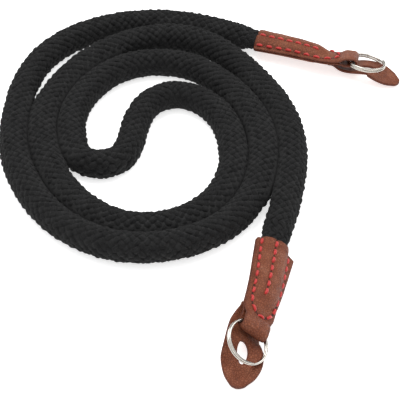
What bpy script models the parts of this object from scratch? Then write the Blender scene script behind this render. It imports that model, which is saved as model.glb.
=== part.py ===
"""A camera strap of braided rope, laid flat in a double spiral, with a leather piece at each end.

Each end piece has a sleeve round the flattened rope end, a folded loop, a split ring in the loop
and a slotted flap that keeps the ring off the camera's body. Metres, +Z up. The strap lies on z = 0
and the origin is the middle of its box on that plane.
"""

import math

import bmesh
import bpy
import numpy as np

MM = 0.001
SMALL_STEP = 0.2 * MM

# Rope
ROPE_DIAMETER = 10.0 * MM
ROPE_END_DIAMETER = 4.0 * MM
ROPE_IN_SLEEVE = 20.0 * MM
ROPE_SQUEEZE = 5.0 * MM
ROPE_POINTS = 76
ROPE_BEND_SHARE = 9.0 * MM
ROPE_FINE_STEP = 1.0 * MM

# Leather
LEATHER = 1.0 * MM
CLEARANCE = 0.3 * MM
SLEEVE_LENGTH = 33.0 * MM
SLEEVE_WIDTH = 12.0 * MM
POCKET_WIDTH = 8.6 * MM
POCKET_WALL = 1.1 * MM
LOOP_LENGTH = 7.3 * MM
LOOP_WIDTH = 10.0 * MM
LOOP_CORNER = 0.9 * MM
FLAP_UNDER_SLEEVE = 3.6 * MM
FLAP_LENGTH = 28.8 * MM
FLAP_WIDTH = 14.0 * MM
FLAP_SLOT_START = 13.0 * MM
FLAP_SLOT_LENGTH = 7.4 * MM
FLAP_SLOT_WIDTH = 3.6 * MM

# Split ring
RING_DIAMETER = 15.0 * MM
RING_WIRE = 0.8 * MM
RING_COIL_GAP = 0.08 * MM
RING_COILS = 2
RING_STEPS_A_COIL = 28
RING_ROOM = 0.75 * MM

# The middle of the strap's box in the tables of places below, in millimetres: right, away
BOX_MIDDLE = (1.8, 13.9)

# The rope's route in millimetres: right, away, and how far it is lifted off lying flat
ROUTE = [
    (41.0, 80.4, 0.3), (31.6, 84.3, 0.1), (22.2, 87.5, 0.0), (7.5, 93.5, 0.0), (-8.0, 98.3, 0.0),
    (-23.0, 99.0, 0.0), (-38.0, 95.3, 0.0), (-51.5, 87.0, 0.0), (-61.0, 74.5, 0.0),
    (-65.8, 58.5, 0.0), (-67.2, 40.0, 0.0), (-65.7, 23.5, 0.0), (-60.5, 8.3, 0.0),
    (-51.9, -5.6, 0.0), (-40.4, -16.2, 0.4), (-26.5, -22.5, 1.0), (-12.5, -22.8, 1.2),
    (0.6, -18.3, 1.0), (11.0, -9.7, 0.4), (18.6, 3.0, 0.0), (22.1, 18.0, 0.0), (21.9, 34.0, 0.0),
    (17.3, 48.2, 0.0), (8.5, 61.5, 0.0), (-2.5, 71.0, 0.0), (-15.0, 74.3, 0.0),
    (-28.0, 71.5, 0.0), (-38.3, 62.5, 0.0), (-44.7, 50.0, 0.0), (-46.3, 38.0, 0.0),
    (-45.4, 29.5, 0.0), (-43.7, 23.3, 0.0), (-40.2, 19.2, 0.0), (-35.1, 17.8, 0.0),
    (-30.1, 19.3, 0.0), (-26.5, 23.4, 0.0), (-24.7, 29.5, 0.0), (-23.6, 37.0, 0.0),
    (-21.8, 44.0, 0.0), (-19.0, 49.7, 0.0), (-14.5, 53.8, 0.0), (-8.8, 55.3, 0.0),
    (-3.0, 53.9, 0.0), (3.0, 49.3, 0.0), (8.3, 41.0, 0.0), (11.3, 29.0, 0.0), (11.2, 15.6, 0.0),
    (6.8, 2.6, 0.0), (-2.0, -7.4, 0.0), (-13.0, -12.2, 0.0), (-25.0, -12.0, 0.0),
    (-36.2, -6.0, 0.0), (-45.7, 4.2, 0.0), (-52.7, 17.5, 0.0), (-56.5, 32.0, 0.0),
    (-56.3, 46.5, 0.0), (-51.7, 60.7, 0.0), (-43.0, 73.5, 0.4), (-31.0, 83.0, 0.9),
    (-17.0, 87.7, 1.4), (-3.0, 86.0, 1.6), (9.5, 78.3, 0.8), (20.3, 65.0, 0.0),
    (28.7, 49.1, 0.0), (32.5, 34.0, 0.0), (32.6, 18.0, 0.0), (30.2, 3.0, 0.0),
    (26.7, -11.0, 0.0), (23.8, -20.8, 0.2), (22.2, -30.6, 0.4), (20.6, -40.3, 0.8),
]

# The leather's middle line at each end in millimetres and degrees: right, away, up, roll. The strap
# line leads from the sleeve's mouth to the loop's fold. The flap leaves it under the loop and
# goes on through its own rows. The ring hangs from the loop, turned down out of the strap's plane
# by ring_drop. The flap's line lies flap_shift to the left under the loop, seen from the mouth, in
# millimetres.
ENDS = {
    "lower": {
        "strap": [
            (23.8, -20.8, 5.2, 26), (22.2, -30.6, 5.4, 30), (20.6, -40.3, 5.8, 34),
            (18.7, -49.3, 6.5, 37), (16.7, -57.6, 7.2, 39), (15.5, -62.3, 7.3, 40),
        ],
        "flap": [
            (12.8, -66.8, 2.65, 16), (11.9, -72.2, 1.25, 5), (11.2, -76.6, 0.8, 0), (10.9, -80.0, 0.65, 0),
        ],
        "ring_drop": 8,
        "flap_shift": 0.9,
    },
    "upper": {
        "strap": [
            (22.2, 87.5, 5.0, 2), (31.6, 84.3, 5.1, 6), (41.0, 80.4, 5.3, 11),
            (48.6, 76.9, 5.6, 15), (55.8, 75.2, 6.1, 17), (59.8, 74.5, 6.3, 18),
        ],
        "flap": [
            (64.6, 73.0, 2.9, 17), (69.2, 70.2, 2.2, 13), (73.2, 67.6, 1.5, 8), (77.0, 65.2, 0.9, 4),
        ],
        "ring_drop": 9,
        "flap_shift": 0.0,
    },
}

# Sleeve sections from mouth to neck: place along the length, share of the width, share of the bulge
SLEEVE_SECTIONS = [
    (0.00, 1.00, 1.00), (0.15, 1.00, 0.97), (0.35, 1.00, 0.90), (0.55, 1.00, 0.82),
    (0.70, 1.00, 0.64), (0.78, 0.99, 0.34), (0.84, 0.98, 0.08), (0.90, 0.96, 0.00), (1.00, 0.88, 0.00),
]

# Flap outline from root to tip: place along the length, share of half the width
FLAP_OUTLINE = [
    (0.00, 0.68), (0.14, 0.73), (0.26, 0.79), (0.38, 0.88), (0.48, 0.97), (0.57, 1.00), (0.65, 0.98),
    (0.73, 0.91), (0.81, 0.79), (0.89, 0.60), (0.95, 0.39), (0.985, 0.20), (1.00, 0.06),
]


def remove_old_objects():
    for obj in list(bpy.data.objects):
        bpy.data.objects.remove(obj, do_unlink=True)


def principled(name, colour, roughness, metallic=0.0):
    """A plain Principled material."""
    material = bpy.data.materials.new(name)
    material.use_nodes = True
    shader = material.node_tree.nodes["Principled BSDF"]
    shader.inputs["Base Color"].default_value = (*colour, 1.0)
    shader.inputs["Roughness"].default_value = roughness
    shader.inputs["Metallic"].default_value = metallic
    return material


def place_of(right, away, up):
    """A point in metres from a table's millimetres."""
    return ((right - BOX_MIDDLE[0]) * MM, (away - BOX_MIDDLE[1]) * MM, up * MM)


class SmoothCurve:
    """A natural cubic spline through rows of numbers.

    Its length is measured along the first three columns.
    """

    def __init__(self, rows):
        self.rows = np.array(rows, float)
        self.step = np.linalg.norm(np.diff(self.rows[:, :3], axis=0), axis=1)
        self.knot = np.concatenate([[0.0], np.cumsum(self.step)])
        self.length = self.knot[-1]
        count = len(self.rows)
        matrix = np.eye(count)
        right = np.zeros_like(self.rows)
        for i in range(1, count - 1):
            before, after = self.step[i - 1], self.step[i]
            matrix[i, i - 1 : i + 2] = before, 2 * (before + after), after
            slope_after = (self.rows[i + 1] - self.rows[i]) / after
            slope_before = (self.rows[i] - self.rows[i - 1]) / before
            right[i] = 6 * (slope_after - slope_before)
        self.bend = np.linalg.solve(matrix, right)

    def at(self, distance):
        """The row at a distance along, going straight on past either end."""
        inside = min(max(distance, 0.0), self.length)
        i = min(int(np.searchsorted(self.knot, inside, side="right")) - 1, len(self.step) - 1)
        i = max(i, 0)
        width = self.step[i]
        b = inside - self.knot[i]
        a = width - b
        curved = (self.bend[i] * a**3 + self.bend[i + 1] * b**3) / (6 * width)
        start = (self.rows[i] / width - self.bend[i] * width / 6) * a
        end = (self.rows[i + 1] / width - self.bend[i + 1] * width / 6) * b
        found = curved + start + end
        if distance != inside:
            other = self.at(inside - math.copysign(SMALL_STEP, distance - inside))
            found = found + (found - other) / SMALL_STEP * abs(distance - inside)
        return found


def unit(vector):
    return vector / np.linalg.norm(vector)


def line_rows(table):
    """A table's rows as metres and radians."""
    return [(*place_of(right, away, up), math.radians(roll)) for right, away, up, roll in table]


class LeatherFrame:
    """Maps (along, across, out) on a leather line to world points."""

    def __init__(self, rows):
        self.curve = SmoothCurve(rows)

    def axes(self, distance):
        here = self.curve.at(distance)
        forward = unit((self.curve.at(distance + SMALL_STEP) - self.curve.at(distance - SMALL_STEP))[:3])
        level = unit(np.cross(forward, (0.0, 0.0, 1.0)))
        upright = np.cross(level, forward)
        roll = here[3]
        across = level * math.cos(roll) + upright * math.sin(roll)
        out = upright * math.cos(roll) - level * math.sin(roll)
        return here[:3], forward, across, out, roll

    def point(self, along, across, out):
        here, _, side, up, _ = self.axes(along)
        return here + side * across + up * out


def add_mesh(name, vertices, faces, material, collection, smooth_angle=40.0):
    """A mesh object with its faces turned outward."""
    mesh = bpy.data.meshes.new(name)
    mesh.from_pydata([tuple(v) for v in vertices], [], faces)
    work = bmesh.new()
    work.from_mesh(mesh)
    bmesh.ops.remove_doubles(work, verts=work.verts, dist=0.01 * MM)
    bmesh.ops.recalc_face_normals(work, faces=work.faces)
    work.to_mesh(mesh)
    work.free()
    mesh.shade_smooth()
    mesh.set_sharp_from_angle(angle=math.radians(smooth_angle))
    mesh.materials.append(material)
    obj = bpy.data.objects.new(name, mesh)
    collection.objects.link(obj)
    return obj


def add_tube(name, points, radii, depth, sides_resolution, material, collection):
    """A round tube with filled caps along the points."""
    curve = bpy.data.curves.new(name, "CURVE")
    curve.dimensions = "3D"
    curve.bevel_depth = depth
    curve.bevel_resolution = sides_resolution
    curve.use_fill_caps = True
    spline = curve.splines.new("POLY")
    spline.points.add(len(points) - 1)
    for spot, point, radius in zip(spline.points, points, radii):
        spot.co = (*point, 1.0)
        spot.radius = radius
    spline.use_smooth = True
    curve.materials.append(material)
    obj = bpy.data.objects.new(name, curve)
    collection.objects.link(obj)
    return obj


def rope_points():
    """Points along the route, closer together where it bends, and each one's share of the full radius."""
    lie = ROPE_DIAMETER / 2
    route = SmoothCurve([np.add(place_of(x, y, z), (0.0, 0.0, lie)) for x, y, z in ROUTE])
    fine = np.linspace(0.0, route.length, round(route.length / ROPE_FINE_STEP))
    line = np.array([route.at(d) for d in fine])
    forward = np.gradient(line, fine, axis=0)
    forward /= np.linalg.norm(forward, axis=1)[:, None]
    turn = np.linalg.norm(np.gradient(forward, fine, axis=0), axis=1)
    weight = 1.0 + ROPE_BEND_SHARE * turn
    total = np.concatenate([[0.0], np.cumsum((weight[1:] + weight[:-1]) / 2)])
    slim_from = ROPE_IN_SLEEVE + CLEARANCE
    full_from = slim_from + ROPE_SQUEEZE
    at_ends = [share * slim_from for share in (0.25, 0.5, 0.75, 1.0)] + [full_from]
    at_ends += [route.length - place for place in at_ends]
    even = np.interp(np.linspace(0.0, total[-1], ROPE_POINTS - len(at_ends)), total, fine)
    clear = np.array([min(abs(pick - place) for place in at_ends) > ROPE_SQUEEZE / 2 for pick in even])
    picks = np.sort(np.concatenate([even[clear], at_ends]))
    from_end = np.minimum(picks, route.length - picks)
    radii = np.interp(from_end, [slim_from, full_from], [ROPE_END_DIAMETER / ROPE_DIAMETER, 1.0])
    points = [route.at(pick) for pick in picks]
    return [(x, y, max(z, lie)) for x, y, z in points], radii


def sleeve_half_height(share):
    """Half the sleeve's thickness in the middle, from flat leather to the full bulge over the rope."""
    flat = LEATHER + CLEARANCE / 2
    full = ROPE_END_DIAMETER / 2 + CLEARANCE + POCKET_WALL
    return flat + (full - flat) * share


def sleeve_section(frame, along, width_share, bulge_share, columns=11):
    """One outer ring of the sleeve: flat flanges, with a bulge over the rope between them."""
    half = SLEEVE_WIDTH / 2 * width_share
    flat = LEATHER + CLEARANCE / 2
    rise = sleeve_half_height(bulge_share) - flat
    reach = (POCKET_WIDTH / 2 + 2 * POCKET_WALL) * min(1.0, width_share)
    ring = []
    for side in (1, -1):
        for column in range(columns):
            across = side * half * math.cos(math.pi * column / (columns - 1))
            bump = math.cos(math.pi / 2 * min(1.0, abs(across) / reach)) ** 1.2
            ring.append(frame.point(along, across, side * (flat + rise * bump)))
    return ring


def pocket_section(frame, along, columns=11):
    """One ring of the pocket that holds the flattened rope end."""
    count = 2 * columns
    wide = POCKET_WIDTH / 2
    high = ROPE_END_DIAMETER / 2 + CLEARANCE
    ring = []
    for i in range(count):
        angle = math.pi * (i + 0.5) / columns
        ring.append(frame.point(along, wide * math.cos(angle), high * math.sin(angle)))
    return ring


def loft(rings):
    """Vertices and faces of a closed body through rings of equal count."""
    count = len(rings[0])
    vertices = [point for ring in rings for point in ring]
    faces = [list(range(count))[::-1], [len(vertices) - count + i for i in range(count)]]
    for r in range(len(rings) - 1):
        for i in range(count):
            j = (i + 1) % count
            low, high = r * count, (r + 1) * count
            faces.append([low + i, low + j, high + j, high + i])
    return vertices, faces


def add_sleeve(end, frame, leather, collection):
    """The sleeve: an outer skin from neck to mouth, and a pocket back in from the mouth."""
    rings = [
        sleeve_section(frame, share * SLEEVE_LENGTH, width, bulge)
        for share, width, bulge in reversed(SLEEVE_SECTIONS)
    ]
    pocket_depth = ROPE_IN_SLEEVE + 2 * CLEARANCE
    for share in (0.0, 0.25, 0.5, 0.75, 1.0):
        rings.append(pocket_section(frame, pocket_depth * share))
    vertices, faces = loft(rings)
    return add_mesh(f"sleeve_{end}", vertices, faces, leather, collection)


def solidify(obj, thickness):
    modifier = obj.modifiers.new("thickness", "SOLIDIFY")
    modifier.thickness = thickness
    modifier.offset = 0.0
    modifier.use_even_offset = True


def loop_start():
    return SLEEVE_LENGTH + CLEARANCE


def channel_height():
    """The room inside the loop for the ring's coils."""
    return RING_COILS * RING_WIRE + (RING_COILS - 1) * RING_COIL_GAP + 2 * RING_ROOM


def loop_half_height():
    return channel_height() / 2 + LEATHER


def ring_seat():
    """Where the ring's wire crosses the middle of the loop, along the strap.

    The wire bows towards the fold at the loop's edges.
    """
    radius = (RING_DIAMETER - RING_WIRE) / 2
    bow = radius - math.sqrt(radius**2 - (LOOP_WIDTH / 2) ** 2)
    return loop_start() + LOOP_LENGTH - LEATHER - RING_ROOM - RING_WIRE / 2 - bow


def loop_profile(corner_steps=3):
    """The middle of the loop's leather as (along, out) points round a rectangle with round corners."""
    low = loop_start() + LEATHER / 2
    high = loop_start() + LOOP_LENGTH - LEATHER / 2
    top = loop_half_height() - LEATHER / 2
    radius = min(LOOP_CORNER + LEATHER / 2, top)
    corners = ((low, -top, 180), (high, -top, 270), (high, top, 0), (low, top, 90))
    profile = []
    for corner_along, corner_out, first in corners:
        centre_along = corner_along + math.copysign(radius, high + low - 2 * corner_along)
        centre_out = corner_out - math.copysign(radius, corner_out)
        for step in range(corner_steps + 1):
            angle = math.radians(first + 90 * step / corner_steps)
            profile.append((centre_along + radius * math.cos(angle), centre_out + radius * math.sin(angle)))
    return profile


def add_loop(end, frame, leather, collection, columns=6):
    """A band folded round the ring's wire, its closed end seated on the end of the sleeve."""
    profile = loop_profile()
    count = len(profile)
    vertices = []
    for column in range(columns + 1):
        across = LOOP_WIDTH * (column / columns - 0.5)
        vertices += [frame.point(along, across, out) for along, out in profile]
    faces = []
    for column in range(columns):
        for i in range(count):
            j = (i + 1) % count
            here, there = column * count, (column + 1) * count
            faces.append([here + i, here + j, there + j, there + i])
    obj = add_mesh(f"loop_{end}", vertices, faces, leather, collection)
    solidify(obj, LEATHER)
    return obj


def flap_frame(end, strap):
    """The flap's line: flat under the sleeve's end, clear below the loop, then through its own rows."""
    under_sleeve = LEATHER + CLEARANCE / 2 + CLEARANCE + LEATHER / 2
    under_loop = loop_half_height() + 1.5 * CLEARANCE + LEATHER / 2
    start = SLEEVE_LENGTH - FLAP_UNDER_SLEEVE
    places = (
        (start, under_sleeve),
        (SLEEVE_LENGTH - FLAP_UNDER_SLEEVE / 2, under_sleeve),
        (loop_start() + LEATHER / 2, under_loop),
        (loop_start() + LOOP_LENGTH, under_loop),
    )
    shift = ENDS[end]["flap_shift"] * MM
    rows = [(*strap.point(along, shift, -below), strap.axes(along)[4]) for along, below in places]
    return LeatherFrame(rows + line_rows(ENDS[end]["flap"]))


def slot_half_width(along):
    """Half the slot's width: a rounded end towards the tip and a narrower one towards the loop."""
    share = (along - FLAP_SLOT_START) / FLAP_SLOT_LENGTH
    if share <= 0.0 or share >= 1.0:
        return 0.0
    return FLAP_SLOT_WIDTH / 2 * math.sin(math.pi * share**0.8) ** 0.7


def add_flap(end, frame, leather, collection, columns=4, slot_rows=10):
    """A sheet in two halves that meet on the middle line except along the slot."""
    shares = [row[0] for row in FLAP_OUTLINE]
    rows = {share * FLAP_LENGTH for share in shares}
    rows |= {FLAP_SLOT_START + FLAP_SLOT_LENGTH * i / slot_rows for i in range(slot_rows + 1)}
    rows = sorted(rows)
    vertices = []
    faces = []
    for side in (1, -1):
        first = len(vertices)
        for along in rows:
            edge = np.interp(along / FLAP_LENGTH, shares, [row[1] for row in FLAP_OUTLINE]) * FLAP_WIDTH / 2
            inner = slot_half_width(along)
            for column in range(columns + 1):
                across = side * (inner + (edge - inner) * column / columns)
                vertices.append(frame.point(along, across, 0.0))
        for row in range(len(rows) - 1):
            for column in range(columns):
                corner = first + row * (columns + 1) + column
                faces.append([corner, corner + 1, corner + columns + 2, corner + columns + 1])
    obj = add_mesh(f"flap_{end}", vertices, faces, leather, collection)
    solidify(obj, LEATHER)
    return obj


def add_ring(end, frame, nickel, collection):
    """Two flat coils of wire, one on the other, through the loop, with the cut ends away from it."""
    seat = frame.point(ring_seat(), 0.0, 0.0)
    _, forward, side, out, _ = frame.axes(ring_seat())
    drop = math.radians(ENDS[end]["ring_drop"])
    towards = forward * math.cos(drop) - out * math.sin(drop)
    normal = np.cross(side, towards)
    radius = (RING_DIAMETER - RING_WIRE) / 2
    centre = seat + towards * radius
    pitch = RING_WIRE + RING_COIL_GAP
    points = []
    for i in range(RING_COILS * RING_STEPS_A_COIL + 1):
        turn = i / RING_STEPS_A_COIL
        angle = 2 * math.pi * turn
        rise = pitch * (turn - RING_COILS / 2)
        points.append(centre + radius * (towards * math.cos(angle) + side * math.sin(angle)) + normal * rise)
    return add_tube(f"ring_{end}", points, [1.0] * len(points), RING_WIRE / 2, 2, nickel, collection)


def build():
    remove_old_objects()
    collection = bpy.data.collections.new("rope_camera_strap")
    bpy.context.scene.collection.children.link(collection)
    cotton = principled("black_cotton", (0.020, 0.020, 0.021), 0.9)
    leather = principled("brown_leather", (0.30, 0.105, 0.060), 0.55)
    nickel = principled("nickel", (0.75, 0.74, 0.72), 0.2, 1.0)
    points, radii = rope_points()
    add_tube("rope", points, radii, ROPE_DIAMETER / 2, 4, cotton, collection)
    for end, lines in ENDS.items():
        strap = LeatherFrame(line_rows(lines["strap"]))
        add_sleeve(end, strap, leather, collection)
        add_loop(end, strap, leather, collection)
        add_flap(end, flap_frame(end, strap), leather, collection)
        add_ring(end, strap, nickel, collection)


build()
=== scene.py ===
"""The looks of the rope camera strap: braided cotton rope, sewn leather end pieces and split rings.

Everything is in metres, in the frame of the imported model. Each end piece is described on its own
leather line by three numbers: along, from the sleeve's mouth towards the ring, across, and out.
"""

import math

import bmesh
import bpy
import numpy as np
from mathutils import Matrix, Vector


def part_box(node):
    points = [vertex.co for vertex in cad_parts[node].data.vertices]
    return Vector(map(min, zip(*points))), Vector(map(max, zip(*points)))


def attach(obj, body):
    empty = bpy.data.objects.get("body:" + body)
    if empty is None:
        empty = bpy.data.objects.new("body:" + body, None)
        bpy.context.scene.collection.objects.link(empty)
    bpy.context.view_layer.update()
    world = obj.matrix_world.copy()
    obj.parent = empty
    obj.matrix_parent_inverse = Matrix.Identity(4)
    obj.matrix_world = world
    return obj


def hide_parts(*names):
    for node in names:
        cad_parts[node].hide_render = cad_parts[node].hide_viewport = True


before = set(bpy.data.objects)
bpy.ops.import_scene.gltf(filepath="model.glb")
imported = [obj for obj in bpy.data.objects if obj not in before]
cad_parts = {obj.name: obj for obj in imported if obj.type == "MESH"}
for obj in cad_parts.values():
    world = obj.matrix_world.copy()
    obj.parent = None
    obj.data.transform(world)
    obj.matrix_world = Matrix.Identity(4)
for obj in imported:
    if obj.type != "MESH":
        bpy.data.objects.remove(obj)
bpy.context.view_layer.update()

MM = 0.001

# Camera
CAMERA_ELEVATION = math.radians(45)
CAMERA_DISTANCE = 443.7 * MM
CAMERA_LENS = 117.0
CAMERA_SENSOR = 36.0

# Light. SKY: height above the horizon, brightness. LIGHTS: name, place, diameter, power.
FLOOR_HALF = 1.5
FLOOR_SHADES = (0.93, 0.95)
FLOOR_GLOW = 0.7
SKY = [(0.0, 0.12), (0.4, 0.45), (0.8, 1.05)]
LIGHTS = [
    ("soft_top", (-0.15, 0.25, 0.9), 0.7, 4.2),
    ("soft_right", (0.7, 0.45, 0.7), 0.5, 2.0),
]

# Colours, from the darkest of each material to its lightest
WHITE = (1.0, 1.0, 1.0)
COTTON_COLOURS = ((0.006, 0.006, 0.0061), (0.0335, 0.0335, 0.0339))
COTTON_PATCH = (0.75, 0.75, 0.76)
CORE_COLOURS = ((0.007, 0.007, 0.0071), (0.020, 0.020, 0.0202))
LEATHER_COLOURS = ((0.190, 0.051, 0.022), (0.250, 0.077, 0.036), (0.305, 0.116, 0.064))
# Painted shade in the leather grain's creases, multiplied into its colour
LEATHER_CREASE_SHADE = (0.58, 0.50, 0.47)
# Painted shade towards the leather's rims
LEATHER_RIM_SHADE = (0.48, 0.36, 0.34)
GRAIN_WARP = 0.5 * MM
THREAD_COLOURS = ((0.36, 0.006, 0.006), (0.68, 0.028, 0.022))
# Painted shade: the dark colour put in the needle holes
HOLE_SHADE_COLOURS = ((0.020, 0.004, 0.003), (0.055, 0.012, 0.008))
NICKEL_COLOURS = ((0.56, 0.53, 0.48), (0.62, 0.59, 0.54))

# Rope. A side that touches another turn swells: in full and not at all at the two distances
# between their middles in ROPE_TURNS_TOUCH.
ROPE_DIAMETER = 10.0 * MM
ROPE_IN_SLEEVE = 20.0 * MM
ROPE_HIDDEN = 8.0 * MM
ROPE_SQUEEZE = 9.0 * MM
ROPE_MOUTH_WIDTH = 8.8 * MM
ROPE_MOUTH_HEIGHT = 4.6 * MM
ROPE_MOUTH_SHIFT = 0.6 * MM
ROPE_LOWEST = 0.02 * MM
ROPE_SWELL = 0.075
ROPE_TURNS_TOUCH = (11.4 * MM, 12.0 * MM)
CORD_PATH_POINTS = 300
CORE_DIAMETER = 9.2 * MM
CORE_SWELL = 0.12
CORE_STEP = 2.0 * MM
CORE_SIDES = 32

# Braid. Each strand strays in two slow waves, in radians round the rope and outwards. A wave has
# its rate a millimetre, how much faster each next strand's is, and how far it is shifted.
BRAID_STRANDS = 20
BRAID_ONE_WAY = BRAID_STRANDS // 2
BRAID_PITCH = 31.0 * MM
BRAID_RADIUS = 4.12 * MM
BRAID_RISE = 0.52 * MM
BRAID_STEP = 0.6 * MM
BRAID_STRAY = 0.055
BRAID_STRAY_WAVE = (0.43, 0.03, 2.1)
BRAID_UNEVEN = 0.12 * MM
BRAID_UNEVEN_WAVE = (0.71, 0.05, 1.3)
STRANDS_A_PIECE = 5
STRAND_WIDTH = 2.3 * MM
STRAND_THICKNESS = 1.4 * MM
STRAND_NARROWER_UNDER = 0.1
STRAND_INSIDE = 0.7
STRAND_SIDES = 9
STRAND_APART = 7.0
HAND_APART = 50.0

# Leather
LEATHER = 1.0 * MM
CLEARANCE = 0.3 * MM
EDGE_ROUND = 0.3 * MM
EDGE_TURNS = np.radians([0.0, 30.0, 60.0, 90.0])
EDGE_SKIVED = 0.62
EDGE_SKIVED_TO = 2.0 * MM
LAYER_GAP = 0.12 * MM
MERGE_WITHIN = 0.002 * MM
RIPPLE = 0.07 * MM
SLEEVE_LENGTH = 33.0 * MM
SLEEVE_WIDTH = 12.0 * MM
SLEEVE_CORNER = 1.2 * MM
SLEEVE_TO_LOOP = 5.0 * MM
FLANGE_START = 2.7 * MM
FLANGE_CORNER = 0.6 * MM
FLANGE_END = 27.0 * MM
POCKET_WIDTH = 9.2 * MM
POCKET_HALF_HEIGHT = 2.3 * MM
POCKET_CENTRE = -0.7 * MM
POCKET_FULL_TO = 24.5 * MM
POCKET_END = 31.5 * MM
POCKET_BLUNT = 3.0 * MM
POCKET_NARROWS = 0.3
POCKET_NARROWS_OVER = 8.0 * MM
LOOP_LENGTH = 7.3 * MM
LOOP_WIDTH = 10.0 * MM
LOOP_RISE_FROM = 33.0 * MM
LOOP_RISE_TO = 36.0 * MM
STRIP_STEP = 0.4 * MM
STRIP_COLUMNS = 32
STRIP_FOLD_ROWS = 13
STRIP_END_RIM = 0.1 * MM
# Painted shade towards the strip's rims: how much darker, and how far in it fades
STRIP_RIM_SHADE = 0.75
STRIP_RIM_WIDTH = 0.55 * MM
FLAP_UNDER_SLEEVE = 3.6 * MM
FLAP_LENGTH = 28.8 * MM
FLAP_WIDTH = 14.0 * MM
FLAP_CURL = 0.35 * MM
FLAP_HALVES_EVEN = (5.0 * MM, 15.0 * MM)
FLAP_SLOT_START = 13.0 * MM
FLAP_SLOT_LENGTH = 7.4 * MM
FLAP_SLOT_WIDTH = 3.6 * MM
FLAP_SLOT_LEAST = 0.02 * MM
FLAP_COLUMNS = 16
FLAP_ROOT_ROWS = 30
FLAP_SLOT_ROWS = 33
FLAP_TIP_ROWS = 22
# Painted shade towards the flap's rims and round its slot
FLAP_RIM_SHADE = 0.8
FLAP_RIM_WIDTH = 0.5 * MM

# Stitches. DIVE and GIRTH: the height and thickness along a stitch, as shares of half its width.
STITCH_PITCH = 3.8 * MM
STITCH_LENGTH = 2.5 * MM
STITCH_WIDTH = 1.05 * MM
STITCH_DIVE = (-0.75, 0.0, 0.42, 0.6, 0.66, 0.6, 0.42, 0.0, -0.75)
STITCH_GIRTH = (0.55, 0.85, 1.0, 1.0, 1.0, 1.0, 1.0, 0.85, 0.55)
STITCH_TWIST = 1.4 * math.pi
STITCH_VALLEY = 0.82
STITCH_PLY = 0.2
STITCH_FLAT = 0.85
STITCH_SIDES = 12
STITCH_APART = 3.0
ROW_INSET = 0.9 * MM
ROW_LEFT = 4.2 * MM
ROW_BEND_FROM = 26.5 * MM
ROW_BEND_TO = 33.2 * MM
ROW_BEND_POINTS = 40
ROW_MIDDLE_START = -0.45 * MM
ROW_MIDDLE_END = 0.55 * MM
ROW_MIDDLE_LENGTH = 25.0 * MM
ROW_SUNK_WIDTH = 0.9 * MM
ROW_SUNK_FADE = 3.0 * MM
GROOVE_DEPTH = 0.5 * MM
GROOVE_WIDTH = 0.75 * MM
GROOVE_LEAST = 0.3
GROOVE_FULL_AT = 0.8 * MM
# Painted shade along the stitch rows' grooves
GROOVE_SHADE = 0.55
HOLE_HALF_LENGTH = 0.55 * MM
HOLE_HALF_WIDTH = 0.42 * MM
HOLE_HALF_HEIGHT = 0.1 * MM
HOLE_PAST_TIP = 0.22 * MM
HOLE_SUNK = 0.02 * MM

# Split ring
RING_DIAMETER = 15.0 * MM
RING_WIRE = 0.78 * MM
RING_COIL_GAP = 0.1 * MM
RING_COILS = 2
RING_STEPS_A_COIL = 72
RING_SIDES = 14
RING_CUT_AT = math.radians(35)
RING_TAPER_STEPS = 3
RING_CUT_AREA = 0.15
RING_ROOM = 0.25 * MM
RING_ROOM_IN_MODEL = 0.75 * MM

# Flap outline from root to tip: place along the length, share of half the width
FLAP_OUTLINE = [
    (0.00, 0.68), (0.14, 0.73), (0.26, 0.79), (0.38, 0.88), (0.48, 0.97), (0.57, 1.00), (0.65, 0.98),
    (0.73, 0.91), (0.81, 0.79), (0.89, 0.60), (0.95, 0.39), (0.985, 0.20), (1.00, 0.00),
]

# The middle of the strap's box in the tables of places below, in millimetres: right, away
BOX_MIDDLE = (1.8, 13.9)

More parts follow.
